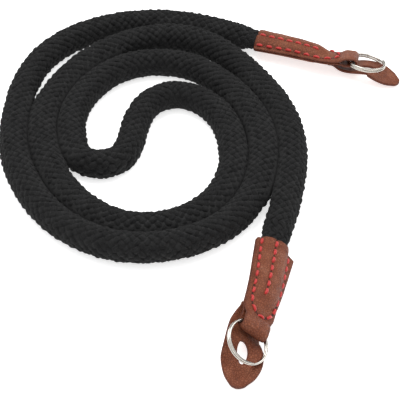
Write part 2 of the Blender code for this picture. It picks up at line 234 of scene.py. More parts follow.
# The rope's route in millimetres: right, away, and how far it is lifted off lying flat
ROUTE = [
    (41.0, 80.4, 0.3), (31.6, 84.3, 0.1), (22.2, 87.5, 0.0), (7.5, 93.5, 0.0), (-8.0, 98.3, 0.0),
    (-23.0, 99.0, 0.0), (-38.0, 95.3, 0.0), (-51.5, 87.0, 0.0), (-61.0, 74.5, 0.0),
    (-65.8, 58.5, 0.0), (-67.2, 40.0, 0.0), (-65.7, 23.5, 0.0), (-60.5, 8.3, 0.0),
    (-51.9, -5.6, 0.0), (-40.4, -16.2, 0.4), (-26.5, -22.5, 1.0), (-12.5, -22.8, 1.2),
    (0.6, -18.3, 1.0), (11.0, -9.7, 0.4), (18.6, 3.0, 0.0), (22.1, 18.0, 0.0), (21.9, 34.0, 0.0),
    (17.3, 48.2, 0.0), (8.5, 61.5, 0.0), (-2.5, 71.0, 0.0), (-15.0, 74.3, 0.0),
    (-28.0, 71.5, 0.0), (-38.3, 62.5, 0.0), (-44.7, 50.0, 0.0), (-46.3, 38.0, 0.0),
    (-45.4, 29.5, 0.0), (-43.7, 23.3, 0.0), (-40.2, 19.2, 0.0), (-35.1, 17.8, 0.0),
    (-30.1, 19.3, 0.0), (-26.5, 23.4, 0.0), (-24.7, 29.5, 0.0), (-23.6, 37.0, 0.0),
    (-21.8, 44.0, 0.0), (-19.0, 49.7, 0.0), (-14.5, 53.8, 0.0), (-8.8, 55.3, 0.0),
    (-3.0, 53.9, 0.0), (3.0, 49.3, 0.0), (8.3, 41.0, 0.0), (11.3, 29.0, 0.0), (11.2, 15.6, 0.0),
    (6.8, 2.6, 0.0), (-2.0, -7.4, 0.0), (-13.0, -12.2, 0.0), (-25.0, -12.0, 0.0),
    (-36.2, -6.0, 0.0), (-45.7, 4.2, 0.0), (-52.7, 17.5, 0.0), (-56.5, 32.0, 0.0),
    (-56.3, 46.5, 0.0), (-51.7, 60.7, 0.0), (-43.0, 73.5, 0.4), (-31.0, 83.0, 0.9),
    (-17.0, 87.7, 1.4), (-3.0, 86.0, 1.6), (9.5, 78.3, 0.8), (20.3, 65.0, 0.0),
    (28.7, 49.1, 0.0), (32.5, 34.0, 0.0), (32.6, 18.0, 0.0), (30.2, 3.0, 0.0),
    (26.7, -11.0, 0.0), (23.8, -20.8, 0.2), (22.2, -30.6, 0.4), (20.6, -40.3, 0.8),
]

# The leather at each end, in millimetres and degrees. Left and right are seen from the rope.
# strap: the strip's middle line as right, away, up and roll
# flap: the same for the flap past the loop
# flap_shift: how far to the left the flap's root lies
# flange: how wide the flange on the right is where it starts
# taper: how much the right side narrows towards the loop
# row_right: where the right row of stitches starts and ends across
# row_sunk: how much deeper that row is pulled in
# halves: how wide the flap's left and right halves are at its root, as shares of the outline
ENDS = {
    "lower": {
        "strap": [
            (23.8, -20.8, 5.2, 26), (22.2, -30.6, 5.4, 30), (20.6, -40.3, 5.8, 34),
            (18.7, -49.3, 6.5, 37), (16.7, -57.6, 7.2, 39), (15.5, -62.3, 7.3, 40),
        ],
        "flap": [
            (12.8, -66.8, 2.65, 16), (11.9, -72.2, 1.25, 5), (11.2, -76.6, 0.8, 0), (10.9, -80.0, 0.65, 0),
        ],
        "flap_shift": 0.9,
        "flange": 2.6,
        "taper": 0.0,
        "row_right": (-6.1, -5.0),
        "row_sunk": 0.0,
        "halves": (1.0, 1.2),
    },
    "upper": {
        "strap": [
            (22.2, 87.5, 5.0, 2), (31.6, 84.3, 5.1, 6), (41.0, 80.4, 5.3, 11),
            (48.6, 76.9, 5.6, 15), (55.8, 75.2, 6.1, 17), (59.8, 74.5, 6.3, 18),
        ],
        "flap": [
            (64.6, 73.0, 2.9, 17), (69.2, 70.2, 2.2, 13), (73.2, 67.6, 1.5, 8), (77.0, 65.2, 0.9, 4),
        ],
        "flap_shift": 0.0,
        "flange": 0.0,
        "taper": 0.6,
        "row_right": (-5.6, -4.8),
        "row_sunk": 0.5,
        "halves": (0.55, 1.25),
    },
}


def place_of(right, away, up):
    """A point in metres from a table's millimetres."""
    return ((right - BOX_MIDDLE[0]) * MM, (away - BOX_MIDDLE[1]) * MM, up * MM)


def unit(vectors):
    """Vectors scaled to length one, along the last axis."""
    return vectors / np.linalg.norm(vectors, axis=-1, keepdims=True)


def ease(value, start, end):
    """0 before start, 1 after end, smooth between."""
    share = np.clip((value - start) / (end - start), 0.0, 1.0)
    return share * share * (3 - 2 * share)


class SmoothCurve:
    """A natural cubic spline through rows of numbers, measured by the distance between its places."""

    def __init__(self, rows):
        self.rows = np.array(rows, float)
        self.step = np.linalg.norm(np.diff(self.rows[:, :3], axis=0), axis=1)
        self.knot = np.concatenate([[0.0], np.cumsum(self.step)])
        self.length = self.knot[-1]
        count = len(self.rows)
        matrix = np.eye(count)
        right = np.zeros_like(self.rows)
        for i in range(1, count - 1):
            before, after = self.step[i - 1], self.step[i]
            matrix[i, i - 1 : i + 2] = before, 2 * (before + after), after
            slope_after = (self.rows[i + 1] - self.rows[i]) / after
            slope_before = (self.rows[i] - self.rows[i - 1]) / before
            right[i] = 6 * (slope_after - slope_before)
        self.bend = np.linalg.solve(matrix, right)

    def at(self, distances):
        """The rows at distances along, going straight on past either end."""
        distances = np.atleast_1d(np.asarray(distances, float))
        inside = np.clip(distances, 0.0, self.length)
        i = np.clip(np.searchsorted(self.knot, inside, side="right") - 1, 0, len(self.step) - 1)
        width = self.step[i][:, None]
        passed = (inside - self.knot[i])[:, None]
        ahead = width - passed
        curved = (self.bend[i] * ahead**3 + self.bend[i + 1] * passed**3) / (6 * width)
        start = (self.rows[i] / width - self.bend[i] * width / 6) * ahead
        end = (self.rows[i + 1] / width - self.bend[i + 1] * width / 6) * passed
        found = curved + start + end
        past = distances != inside
        if past.any():
            nudge = 0.2 * MM
            back = np.sign(distances[past] - inside[past]) * nudge
            other = self.at(inside[past] - back)
            found[past] += (found[past] - other) / back[:, None] * (distances - inside)[past][:, None]
        return found


class LeatherLine:
    """Maps along, across and out on a leather line to points."""

    def __init__(self, rows):
        self.curve = SmoothCurve(rows)

    def axes(self, along):
        nudge = 0.1 * MM
        here = self.curve.at(along)
        forward = unit((self.curve.at(along + nudge) - self.curve.at(along - nudge))[:, :3])
        level = unit(np.cross(forward, (0.0, 0.0, 1.0)))
        upright = np.cross(level, forward)
        cos, sin = np.cos(here[:, 3:4]), np.sin(here[:, 3:4])
        return here[:, :3], forward, level * cos + upright * sin, upright * cos - level * sin

    def points(self, along, across, out):
        """Points for arrays of the same shape."""
        along, across, out = np.broadcast_arrays(along, across, out)
        here, _, side, up = self.axes(along.ravel())
        found = here + side * across.ravel()[:, None] + up * out.ravel()[:, None]
        return found.reshape(along.shape + (3,))


def strap_line(end):
    rows = [(*place_of(*row[:3]), math.radians(row[3])) for row in ENDS[end]["strap"]]
    return LeatherLine(rows)


def coils_height():
    """How thick the ring's coils are together."""
    return RING_COILS * RING_WIRE + (RING_COILS - 1) * RING_COIL_GAP


def flap_line(end, strap):
    """Flat under the sleeve's end, clear below the loop, then through the flap's own rows."""
    under_sleeve = LEATHER + CLEARANCE / 2 + CLEARANCE + LEATHER / 2
    under_loop = coils_height() / 2 + RING_ROOM_IN_MODEL + 1.5 * (LEATHER + CLEARANCE)
    loop_start = SLEEVE_LENGTH + CLEARANCE
    along = np.array([
        SLEEVE_LENGTH - FLAP_UNDER_SLEEVE,
        SLEEVE_LENGTH - FLAP_UNDER_SLEEVE / 2,
        loop_start + LEATHER / 2,
        loop_start + LOOP_LENGTH,
    ])
    below = np.array([under_sleeve, under_sleeve, under_loop, under_loop])
    places = strap.points(along, np.full(4, ENDS[end]["flap_shift"] * MM), -below)
    rolls = strap.curve.at(along)[:, 3]
    rows = [(*place, roll) for place, roll in zip(places, rolls)]
    rows += [(*place_of(*row[:3]), math.radians(row[3])) for row in ENDS[end]["flap"]]
    return LeatherLine(rows)


def mesh_object(name, mesh, material, smooth=True):
    if smooth:
        mesh.shade_smooth()
    mesh.materials.append(material)
    obj = bpy.data.objects.new(name, mesh)
    bpy.context.scene.collection.objects.link(obj)
    return obj


def points_object(name, points, faces, material, smooth=True):
    mesh = bpy.data.meshes.new(name)
    mesh.from_pydata(points.tolist(), [], faces)
    return mesh_object(name, mesh, material, smooth)


def work_object(name, work, material):
    """An object of a finished bmesh."""
    mesh = bpy.data.meshes.new(name)
    work.to_mesh(mesh)
    work.free()
    return mesh_object(name, mesh, material)


def strand_object(name, points, faces, places, material):
    """An object that also tells its material how far along and across its strand each point lies."""
    obj = points_object(name, np.concatenate(points), faces, material)
    attribute = obj.data.attributes.new("strand_place", "FLOAT_VECTOR", "POINT")
    attribute.data.foreach_set("vector", np.concatenate(places).astype(np.float32).ravel())
    return obj


def grid_faces(rows, columns, first=0, wrap=False):
    """Quads between neighbouring points of a grid. A wrapped grid joins its last column to its first."""
    across = columns if wrap else columns - 1
    row, column = np.meshgrid(np.arange(rows - 1), np.arange(across), indexing="ij")
    after = (column + 1) % columns
    low, high = row * columns, (row + 1) * columns
    faces = np.stack([low + column, low + after, high + after, high + column], axis=-1)
    return (faces.reshape(-1, 4) + first).tolist()


def tube_faces(rings, sides, first=0):
    """The faces of a tube through rings of points, with a cap at both ends."""
    start = list(range(first, first + sides))
    end = [(rings - 1) * sides + i for i in start]
    return grid_faces(rings, sides, first, wrap=True) + [start[::-1], end]


# Materials


def node_material(name, roughness, metallic=0.0):
    material = bpy.data.materials.new(name)
    material.use_nodes = True
    shader = material.node_tree.nodes["Principled BSDF"]
    shader.inputs["Roughness"].default_value = roughness
    shader.inputs["Metallic"].default_value = metallic
    return material, material.node_tree, shader


def add_node(tree, kind, **settings):
    node = tree.nodes.new(kind)
    for name, value in settings.items():
        if name in node.inputs:
            node.inputs[name].default_value = value
        else:
            setattr(node, name, value)
    return node


def add_noise(tree, scale, **settings):
    """Noise that stays in place on the piece."""
    solid = add_node(tree, "ShaderNodeTexCoord")
    noise = add_node(tree, "ShaderNodeTexNoise", Scale=scale, **settings)
    tree.links.new(solid.outputs["Object"], noise.inputs["Vector"])
    return noise


def add_fibre(tree, roughness, **mapping):
    """Noise that is drawn out along the strands."""
    place = add_node(tree, "ShaderNodeAttribute", attribute_name="strand_place")
    stretch = add_node(tree, "ShaderNodeMapping", **mapping)
    tree.links.new(place.outputs["Vector"], stretch.inputs["Vector"])
    fibre = add_node(tree, "ShaderNodeTexNoise", Scale=1.0, Detail=3.0, Roughness=roughness)
    tree.links.new(stretch.outputs["Vector"], fibre.inputs["Vector"])
    return fibre


def add_ramp(tree, source, stops):
    ramp = tree.nodes.new("ShaderNodeValToRGB")
    while len(ramp.color_ramp.elements) < len(stops):
        ramp.color_ramp.elements.new(1.0)
    for element, (place, colour) in zip(ramp.color_ramp.elements, stops):
        element.position = place
        element.color = (*colour, 1.0)
    tree.links.new(source, ramp.inputs["Fac"])
    return ramp.outputs["Color"]


def add_bump(tree, shader, height, strength, distance):
    bump = add_node(tree, "ShaderNodeBump", Strength=strength, Distance=distance)
    tree.links.new(height, bump.inputs["Height"])
    tree.links.new(bump.outputs["Normal"], shader.inputs["Normal"])


def add_roughness(tree, shader, source, least, most):
    rough = add_node(tree, "ShaderNodeMapRange")
    rough.inputs["To Min"].default_value = least
    rough.inputs["To Max"].default_value = most
    tree.links.new(source, rough.inputs["Value"])
    tree.links.new(rough.outputs["Result"], shader.inputs["Roughness"])


def mix_colours(tree, factor, first, second, blend):
    mix = tree.nodes.new("ShaderNodeMix")
    mix.data_type = "RGBA"
    mix.blend_type = blend
    mix.inputs["Factor"].default_value = factor
    tree.links.new(first, mix.inputs["A"])
    tree.links.new(second, mix.inputs["B"])
    return mix.outputs["Result"]


def cotton_material():
    """Black cotton yarn: fine fibres along each strand and a little unevenness from place to place."""
    material, tree, shader = node_material("black_cotton", roughness=0.92)
    shader.inputs["Sheen Weight"].default_value = 0.03
    shader.inputs["Sheen Roughness"].default_value = 0.5
    shader.inputs["Specular IOR Level"].default_value = 0.12
    fibre = add_fibre(tree, roughness=0.6, Scale=(0.5, 6.0, 1.0))
    patch = add_noise(tree, scale=260.0, Detail=2.0)
    dark, light = COTTON_COLOURS
    fine = add_ramp(tree, fibre.outputs["Fac"], [(0.3, dark), (0.72, light)])
    broad = add_ramp(tree, patch.outputs["Fac"], [(0.35, COTTON_PATCH), (0.65, WHITE)])
    tree.links.new(mix_colours(tree, 1.0, fine, broad, "MULTIPLY"), shader.inputs["Base Color"])
    add_bump(tree, shader, fibre.outputs["Fac"], strength=1.0, distance=0.3 * MM)
    return material


def core_material():
    """The dark yarn seen deep between the strands."""
    material, tree, shader = node_material("cotton_core", roughness=0.95)
    noise = add_noise(tree, scale=2500.0, Detail=2.0)
    dark, light = CORE_COLOURS
    colour = add_ramp(tree, noise.outputs["Fac"], [(0.3, dark), (0.7, light)])
    tree.links.new(colour, shader.inputs["Base Color"])
    add_bump(tree, shader, noise.outputs["Fac"], strength=0.5, distance=0.2 * MM)
    return material


def leather_material():
    """Reddish brown leather with a pebbled grain and uneven dye; painted shade in the creases, at the rims
    and along the stitch rows.
    """
    material, tree, shader = node_material("brown_leather", roughness=0.5)
    shader.inputs["Specular IOR Level"].default_value = 0.25
    solid = add_node(tree, "ShaderNodeTexCoord")
    warp = add_noise(tree, scale=700.0, Detail=2.0)
    shift = add_node(tree, "ShaderNodeVectorMath", operation="MULTIPLY_ADD")
    shift.inputs[1].default_value = (GRAIN_WARP,) * 3
    tree.links.new(warp.outputs["Color"], shift.inputs[0])
    tree.links.new(solid.outputs["Object"], shift.inputs[2])
    grain = add_node(tree, "ShaderNodeTexVoronoi", feature="DISTANCE_TO_EDGE", Scale=1250.0)
    tree.links.new(shift.outputs["Vector"], grain.inputs["Vector"])
    pebble = add_ramp(tree, grain.outputs["Distance"], [(0.0, (0.0,) * 3), (0.22, WHITE)])
    dye = add_noise(tree, scale=150.0, Detail=3.0, Roughness=0.65)
    base = add_ramp(tree, dye.outputs["Fac"], list(zip((0.30, 0.52, 0.75), LEATHER_COLOURS)))
    # Painted shade in the grain's creases
    crease_shade = add_ramp(tree, grain.outputs["Distance"], [(0.0, LEATHER_CREASE_SHADE), (0.2, WHITE)])
    dyed = mix_colours(tree, 1.0, base, crease_shade, "MULTIPLY")
    # Painted shade from the leather_shade attribute: darker at the rims and along the stitch rows
    painted_shade = add_node(tree, "ShaderNodeAttribute", attribute_name="leather_shade")
    shade = add_ramp(tree, painted_shade.outputs["Fac"], [(0.0, LEATHER_RIM_SHADE), (1.0, WHITE)])
    tree.links.new(mix_colours(tree, 1.0, dyed, shade, "MULTIPLY"), shader.inputs["Base Color"])
    wrinkle = add_noise(tree, scale=420.0, Detail=4.0, Roughness=0.6)
    height = mix_colours(tree, 0.45, pebble, wrinkle.outputs["Color"], "MIX")
    add_bump(tree, shader, height, strength=0.7, distance=0.3 * MM)
    add_roughness(tree, shader, wrinkle.outputs["Fac"], least=0.42, most=0.66)
    return material


def thread_material():
    """Bright red waxed thread of two twisted plies."""
    material, tree, shader = node_material("red_thread", roughness=0.45)
    shader.inputs["Sheen Weight"].default_value = 0.2
    fibre = add_fibre(tree, roughness=0.5, Scale=(2.0, 8.0, 1.0), Rotation=(0.0, 0.0, 0.5))
    dark, light = THREAD_COLOURS
    colour = add_ramp(tree, fibre.outputs["Fac"], [(0.3, dark), (0.7, light)])
    tree.links.new(colour, shader.inputs["Base Color"])
    add_bump(tree, shader, fibre.outputs["Fac"], strength=0.5, distance=0.08 * MM)
    return material


def hole_shade_material():
    """Painted shade in a needle hole: a dark colour where its inside lies in shade."""
    material, tree, shader = node_material("needle_hole_shade", roughness=0.9)
    noise = add_noise(tree, scale=3000.0)
    dark, light = HOLE_SHADE_COLOURS
    colour = add_ramp(tree, noise.outputs["Fac"], [(0.3, dark), (0.7, light)])
    tree.links.new(colour, shader.inputs["Base Color"])
    return material


def nickel_material():
    """Polished nickel with faint scuffs."""
    material, tree, shader = node_material("nickel", roughness=0.12, metallic=1.0)
    scuff = add_noise(tree, scale=900.0, Detail=4.0)
    dark, light = NICKEL_COLOURS
    colour = add_ramp(tree, scuff.outputs["Fac"], [(0.3, dark), (0.7, light)])
    tree.links.new(colour, shader.inputs["Base Color"])
    add_roughness(tree, shader, scuff.outputs["Fac"], least=0.08, most=0.18)
    return material


def floor_material():
    """A white floor that glows a little, as a lit studio table does."""
    material, tree, shader = node_material("pale_floor", roughness=0.9)
    noise = add_noise(tree, scale=5.0)
    dark, light = FLOOR_SHADES
    colour = add_ramp(tree, noise.outputs["Fac"], [(0.0, (dark,) * 3), (1.0, (light,) * 3)])
    tree.links.new(colour, shader.inputs["Base Color"])
    tree.links.new(colour, shader.inputs["Emission Color"])
    shader.inputs["Emission Strength"].default_value = FLOOR_GLOW
    return material


# Camera, floor and light


def add_camera():
    """At the photograph's viewing angle, aimed at the table's zero place at half the rope's height."""
    data = bpy.data.cameras.new("camera")
    data.lens = CAMERA_LENS
    data.sensor_width = CAMERA_SENSOR
    data.sensor_fit = "HORIZONTAL"
    data.clip_start = 0.01
    camera = bpy.data.objects.new("camera", data)
    target = np.array(place_of(0.0, 0.0, 0.0)) + (0.0, 0.0, ROPE_DIAMETER / 2)
    away = np.array([0.0, math.cos(CAMERA_ELEVATION), -math.sin(CAMERA_ELEVATION)])
    camera.location = target - away * CAMERA_DISTANCE
    camera.rotation_euler = (math.pi / 2 - CAMERA_ELEVATION, 0.0, 0.0)
    bpy.context.scene.collection.objects.link(camera)
    bpy.context.scene.camera = camera


def add_area_light(name, place, size, power):
    """A round light that faces the frame's zero place."""
    data = bpy.data.lights.new(name, "AREA")
    data.shape = "DISK"
    data.size = size
    data.energy = power
    light = bpy.data.objects.new(name, data)
    light.location = place
    right, away, up = place
    tilt = math.atan2(math.hypot(right, away), up)
    turn = math.atan2(-away, -right) - math.pi / 2
    light.rotation_euler = (tilt, 0.0, turn)
    bpy.context.scene.collection.objects.link(light)


def add_stage():
    half = FLOOR_HALF
    corners = np.array([(-half, -half, 0.0), (half, -half, 0.0), (half, half, 0.0), (-half, half, 0.0)])
    points_object("floor", corners, [(0, 1, 2, 3)], floor_material(), smooth=False)
    world = bpy.data.worlds.new("studio")
    world.use_nodes = True
    tree = world.node_tree
    direction = add_node(tree, "ShaderNodeTexCoord")
    parts = add_node(tree, "ShaderNodeSeparateXYZ")
    tree.links.new(direction.outputs["Generated"], parts.inputs["Vector"])
    sky = add_ramp(tree, parts.outputs["Z"], [(height, (bright,) * 3) for height, bright in SKY])
    tree.links.new(sky, tree.nodes["Background"].inputs["Color"])
    bpy.context.scene.world = world
    for light in LIGHTS:
        add_area_light(*light)
    bpy.context.scene.view_settings.view_transform = "Standard"


# Rope


class RopeLine:
    """The rope's route and section: round, flat at a sleeve's mouth, wider where turns touch."""

    def __init__(self):
        lift = ROPE_DIAMETER / 2
        rows = []
        for right, away, up in ROUTE:
            x, y, z = place_of(right, away, up)
            rows.append((x, y, z + lift, 0.0))
        self.curve = SmoothCurve(rows)
        self.start = ROPE_IN_SLEEVE - ROPE_HIDDEN
        self.end = self.curve.length - self.start
        self.rolls = [math.radians(ENDS[end]["strap"][0][3]) for end in ("upper", "lower")]
        self.places = np.arange(0.0, self.curve.length, MM)
        spots = self.curve.at(self.places)[:, :3]
        steps = spots[None] - spots[:, None]
        away = np.linalg.norm(steps, axis=2)
        same_turn = np.abs(self.places[:, None] - self.places[None]) < 3 * ROPE_DIAMETER
        level = np.cross(np.gradient(spots, axis=0), (0.0, 0.0, 1.0))
        first_side = np.sum(steps * level[:, None], axis=2) > 0
        self.touch = []
        for side in (first_side, ~first_side):
            nearest = np.where(side & ~same_turn, away, 1.0).min(axis=1)
            self.touch.append(1 - ease(nearest, *ROPE_TURNS_TOUCH))

    def touching(self, distance, angle):
        """1 where another turn of the rope touches this side of it, 0 where none is near."""
        first, second = (np.interp(distance, self.places, touch) for touch in self.touch)
        return np.where(np.cos(angle) > 0, first, second)

    def axes(self, distance):
        """The rope's middle, and the ways across and out, scaled to its width and height there."""
        nudge = 0.2 * MM
        here = self.curve.at(distance)[:, :3]
        here[:, 2] = np.maximum(here[:, 2], ROPE_DIAMETER / 2)
        forward = unit((self.curve.at(distance + nudge) - self.curve.at(distance - nudge))[:, :3])
        level = unit(np.cross(forward, (0.0, 0.0, 1.0)))
        upright = np.cross(level, forward)
        first = 1 - ease(distance, ROPE_IN_SLEEVE, ROPE_IN_SLEEVE + ROPE_SQUEEZE)
        last_mouth = self.curve.length - ROPE_IN_SLEEVE
        last = ease(distance, last_mouth - ROPE_SQUEEZE, last_mouth)
        roll = (last * self.rolls[1] - first * self.rolls[0])[:, None]
        across = level * np.cos(roll) + upright * np.sin(roll)
        out = upright * np.cos(roll) - level * np.sin(roll)
        squeeze = np.maximum(first, last)
        here = here - across * ((last - first) * ROPE_MOUTH_SHIFT)[:, None]
        wide = 1 + squeeze * (ROPE_MOUTH_WIDTH / ROPE_DIAMETER - 1)
        high = 1 + squeeze * (ROPE_MOUTH_HEIGHT / ROPE_DIAMETER - 1)
        return here, across * wide[:, None], out * high[:, None]

    def points(self, distance, angle, radius):
        """Points on the rope for arrays of equal length."""
        here, across, out = self.axes(distance)
        wide = np.cos(angle) * (1 + ROPE_SWELL * self.touching(distance, angle))
        return here + radius[:, None] * (across * wide[:, None] + out * np.sin(angle)[:, None])


def add_rope_core(line, material):
    count = int((line.end - line.start) / CORE_STEP) + 1
    distance = np.linspace(line.start, line.end, count)
    angle = 2 * np.pi * np.arange(CORE_SIDES) / CORE_SIDES
    distance, angle = (part.ravel() for part in np.meshgrid(distance, angle, indexing="ij"))
    wider = CORE_SWELL * line.touching(distance, angle) * np.cos(angle) ** 2
    points = line.points(distance, angle, CORE_DIAMETER / 2 * (1 + wider))
    points[:, 2] = np.maximum(points[:, 2], ROPE_LOWEST)
    return points_object("rope_core", points, tube_faces(count, CORE_SIDES), material)


def strand_section():
    """The outline of one strand, across and out: round on the outer side, flatter inside."""
    turn = 2 * np.pi * np.arange(STRAND_SIDES) / STRAND_SIDES + np.pi / 2
    high = np.sin(turn)
    high = np.where(high > 0, high, STRAND_INSIDE * high)
    return np.stack([np.cos(turn) * STRAND_WIDTH / 2, high * STRAND_THICKNESS / 2], axis=1)


def stray(distance, number, wave, start=0.0):
    """A slow wave along a strand, from -1 to 1."""
    rate, faster, shift = wave
    return np.sin(distance / MM * (rate + faster * number) + shift * number + start)


def strand_rings(line, hand, number, distance, section):
    """Rings of points round one strand, which goes over one crossing strand and under the next."""
    column = 2 * number + hand * BRAID_STRANDS * distance / BRAID_PITCH
    over = 0.0 if hand > 0 else 1.0
    wave = np.cos(np.pi * (column - over))
    angle = hand * 2 * np.pi * distance / BRAID_PITCH + 2 * np.pi * number / BRAID_ONE_WAY
    angle = angle + BRAID_STRAY * stray(distance, number, BRAID_STRAY_WAVE)
    uneven = BRAID_UNEVEN * stray(distance, number, BRAID_UNEVEN_WAVE, hand)
    middle = line.points(distance, angle, BRAID_RADIUS + BRAID_RISE * wave + uneven)
    along = unit(np.gradient(middle, axis=0))
    outward = middle - line.axes(distance)[0]
    outward = unit(outward - along * np.sum(outward * along, axis=1, keepdims=True))
    sideways = np.cross(along, outward)
    fuller = 1 + STRAND_NARROWER_UNDER * (wave - 1)
    rings = middle[:, None] + sideways[:, None] * section[:, :1] * fuller[:, None, None]
    rings = rings + outward[:, None] * section[:, 1:]
    rings[..., 2] = np.maximum(rings[..., 2], ROPE_LOWEST)
    return rings


def add_strands(name, line, hand, numbers, material):
    """Strands that wind one way round the rope."""
    section = strand_section()
    count = int((line.end - line.start) / BRAID_STEP) + 1
    distance = np.linspace(line.start, line.end, count)
    travel = np.repeat(distance / MM * math.sqrt(2), STRAND_SIDES)
    across = np.tile(section[:, 0] / MM, count)
    points, faces, places = [], [], []
    for number in numbers:
        faces += tube_faces(count, STRAND_SIDES, len(points) * count * STRAND_SIDES)
        points.append(strand_rings(line, hand, number, distance, section).reshape(-1, 3))
        apart = np.full(len(travel), STRAND_APART * number + HAND_APART * hand)
        places.append(np.stack([travel, across, apart], axis=1))
    return strand_object(name, points, faces, places, material)


# Leather


def leather_object(name, grids, material):
    """A sheet with its two faces joined at the rim.

    A grid has middle points, their normals, shares of thickness and painted shades, and whether it is
    flipped.
    """
    work = bmesh.new()
    shade_layer = work.verts.layers.float.new("leather_shade")
    for middle, normal, thick, shade, flipped in grids:
        half = normal * (thick * LEATHER / 2)[..., None]
        for points, turned in ((middle + half, flipped), (middle - half, not flipped)):
            made = [work.verts.new(point) for point in points.reshape(-1, 3).tolist()]
            for vertex, value in zip(made, shade.ravel().tolist()):
                vertex[shade_layer] = value
            for face in grid_faces(*middle.shape[:2]):
                corners = [made[i] for i in face]
                work.faces.new(corners[::-1] if turned else corners)
    bmesh.ops.remove_doubles(work, verts=work.verts, dist=MERGE_WITHIN)
    bmesh.ops.recalc_face_normals(work, faces=work.faces)
    return work_object(name, work, material)


class Sewing:
    """The outline and the rows of stitches of one end's strip."""

    def __init__(self, end):
        self.flange = ENDS[end]["flange"] * MM
        self.taper = ENDS[end]["taper"] * MM
        self.right_start, self.right_end = (value * MM for value in ENDS[end]["row_right"])
        self.sunk = ENDS[end]["row_sunk"] * MM
        self.centre = (ROW_LEFT + self.right_end) / 2
        self.wide = (ROW_LEFT - self.right_end) / 2
        self.deep = ROW_BEND_TO - ROW_BEND_FROM

    def right_row(self, along):
        """Where the right row lies across the sleeve: it leans in towards the bend."""
        share = np.clip(along / ROW_BEND_FROM, 0.0, 1.0)
        return self.right_start + (self.right_end - self.right_start) * share

    def middle_row(self, along):
        share = np.clip(along / ROW_MIDDLE_LENGTH, 0.0, 1.0)
        return ROW_MIDDLE_START + (ROW_MIDDLE_END - ROW_MIDDLE_START) * share

    def row_distance(self, along, across):
        """The distance to the nearest row: two side rows that join in a bend, and a middle row."""
        straight = np.minimum(np.abs(across - ROW_LEFT), np.abs(across - self.right_row(along)))
        past_bend = np.maximum(along - ROW_BEND_FROM, 0.0) / self.deep
        reach = np.hypot((across - self.centre) / self.wide, past_bend)
        bend = np.abs(reach - 1.0) * min(self.wide, self.deep)
        sides = np.where(along < ROW_BEND_FROM, straight, bend)
        middle = np.hypot(across - self.middle_row(along), np.maximum(along - ROW_MIDDLE_LENGTH, 0.0))
        return np.minimum(sides, middle)

    def groove(self, along, across):
        """1 on a row of stitches, falling to 0 beside it."""
        return np.exp(-((self.row_distance(along, across) / GROOVE_WIDTH) ** 2))

    def front_height(self, along, across):
        """The height of the front layer's middle over the leather line."""
        bulge = pocket_bulge(along, across)
        depth = GROOVE_DEPTH * np.clip(bulge / GROOVE_FULL_AT, GROOVE_LEAST, 1.0)
        beside = (across - self.right_row(along)) / ROW_SUNK_WIDTH
        fade = 1 - ease(along, ROW_BEND_TO - ROW_SUNK_FADE, ROW_BEND_TO)
        sunk = depth * self.groove(along, across) + self.sunk * np.exp(-(beside**2)) * fade
        return layer_height(along) + bulge - sunk + ripple(along, across)

    def half_widths(self, along):
        """The left and right half widths: the flange on the right starts past the mouth and narrows."""
        loop = ease(along, SLEEVE_LENGTH - SLEEVE_TO_LOOP / 2, SLEEVE_LENGTH + SLEEVE_TO_LOOP / 2)
        half = SLEEVE_WIDTH / 2 + (LOOP_WIDTH - SLEEVE_WIDTH) / 2 * loop
        to_corner = np.maximum(SLEEVE_CORNER - along, 0.0)
        corner = SLEEVE_CORNER - np.sqrt(SLEEVE_CORNER**2 - to_corner**2)
        flange = self.flange * ease(along, FLANGE_START, FLANGE_START + FLANGE_CORNER)
        flange *= 1 - np.clip((along - FLANGE_START) / (FLANGE_END - FLANGE_START), 0.0, 1.0)
        narrower = self.taper * np.clip(along / SLEEVE_LENGTH, 0.0, 1.0) * (1 - loop)
        return half - corner, half - corner / 2 + flange - narrower

    def routes(self):
        """Places of the rows as polylines of (along, across)."""
        bend = [
            (ROW_BEND_FROM + self.deep * math.sin(turn), self.centre + self.wide * math.cos(turn))
            for turn in np.linspace(0, np.pi, ROW_BEND_POINTS)
        ]
        start = FLANGE_START + FLANGE_CORNER + ROW_INSET / 2 if self.flange else ROW_INSET
        around = [(ROW_INSET, ROW_LEFT)] + bend + [(start, float(self.right_row(start)))]
        middle = [(along, float(self.middle_row(along))) for along in (ROW_INSET, ROW_MIDDLE_LENGTH)]
        return [np.array(around), np.array(middle)]

    def spans(self):
        """Each stitch of all rows, as a row of places."""
        return [span for route in self.routes() for span in stitch_spans(route)]


def ripple(along, across):
    """Low waves of the leather."""
    along, across = along / MM, across / MM
    return RIPPLE * np.sin(0.9 * along + 1.1 * np.sin(0.8 * across)) * np.sin(1.3 * across + 1)


def pocket_bulge(along, across):
    """How far the leather is pushed out by the rope inside. It closes in a blunt point."""
    half = (POCKET_WIDTH + LEATHER) / 2
    away = np.abs(across - POCKET_CENTRE) / half
    closing = ease(along + POCKET_BLUNT * away, POCKET_FULL_TO, POCKET_END)
    narrower = POCKET_NARROWS * ease(along, POCKET_FULL_TO - POCKET_NARROWS_OVER, POCKET_END)
    share = np.clip(away / (1 - narrower), 0.0, 1.0)
    round_top = np.sqrt(np.cos(np.pi / 2 * share))
    height = POCKET_HALF_HEIGHT + LEATHER / 2 - flat_height()
    return height * round_top * (1 - closing)


def flat_height():
    """Half the distance between the two layers' middles where nothing is between them."""
    return (LEATHER + LAYER_GAP) / 2


def loop_height():
    """The same distance in the loop, with the ring's coils between."""
    return coils_height() / 2 + RING_ROOM + LEATHER / 2


def layer_height(along):
    """The same distance beside the rope and in the loop."""
    return flat_height() + (loop_height() - flat_height()) * ease(along, LOOP_RISE_FROM, LOOP_RISE_TO)


def back_height(along, across):
    """The height of the back layer's middle, under the leather line."""
    return -layer_height(along) - pocket_bulge(along, across)


